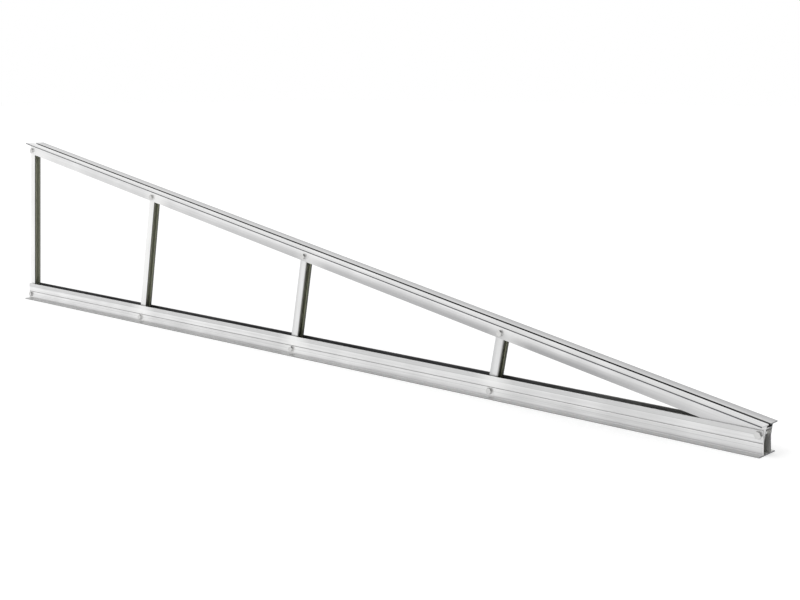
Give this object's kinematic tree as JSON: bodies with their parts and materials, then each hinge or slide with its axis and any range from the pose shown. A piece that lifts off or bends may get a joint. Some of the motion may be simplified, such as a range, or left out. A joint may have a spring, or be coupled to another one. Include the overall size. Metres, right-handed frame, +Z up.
{
  "type": "solar ballast mount",
  "caption": "Long, low tilt frame for solar modules on a flat roof: a channel base rail, a slotted top rail pinned at the low end, and bolted posts between them.",
  "frame": {"origin": "middle of the base rail's underside, where it rests on the roof", "axes": "+X along the base rail towards the low end, +Y to the back, where the nuts are, +Z up"},
  "size_m": [2.6498, 0.065, 0.5184],
  "materials": {
    "extruded_aluminium": "mill finish, with fine lines along the extrusion",
    "stainless_steel": "plain rolled and turned",
    "spacer_aluminium": "turned"
  },
  "bodies": {
    "root": {"base_rail": "extruded_aluminium", "foot_1_bolt": "stainless_steel", "foot_1_front_spacer": "spacer_aluminium", "foot_1_nut": "stainless_steel", "foot_1_rear_spacer": "spacer_aluminium", "foot_1_washer": "stainless_steel", "foot_2_bolt": "stainless_steel", "foot_2_front_spacer": "spacer_aluminium", "foot_2_nut": "stainless_steel", "foot_2_rear_spacer": "spacer_aluminium", "foot_2_washer": "stainless_steel", "foot_3_bolt": "stainless_steel", "foot_3_front_spacer": "spacer_aluminium", "foot_3_nut": "stainless_steel", "foot_3_rear_spacer": "spacer_aluminium", "foot_3_washer": "stainless_steel", "foot_4_bolt": "stainless_steel", "foot_4_front_spacer": "spacer_aluminium", "foot_4_nut": "stainless_steel", "foot_4_rear_spacer": "spacer_aluminium", "foot_4_washer": "stainless_steel", "head_1_bolt": "stainless_steel", "head_1_nut": "stainless_steel", "head_1_washer": "stainless_steel", "head_2_bolt": "stainless_steel", "head_2_nut": "stainless_steel", "head_2_washer": "stainless_steel", "head_3_bolt": "stainless_steel", "head_3_nut": "stainless_steel", "head_3_washer": "stainless_steel", "head_4_bolt": "stainless_steel", "head_4_nut": "stainless_steel", "head_4_washer": "stainless_steel", "pivot_bolt": "stainless_steel", "pivot_nut": "stainless_steel", "pivot_washer": "stainless_steel", "post_1": "extruded_aluminium", "post_2": "extruded_aluminium", "post_3": "extruded_aluminium", "post_4": "extruded_aluminium", "top_rail": "extruded_aluminium"}
  },
  "joints": []
}
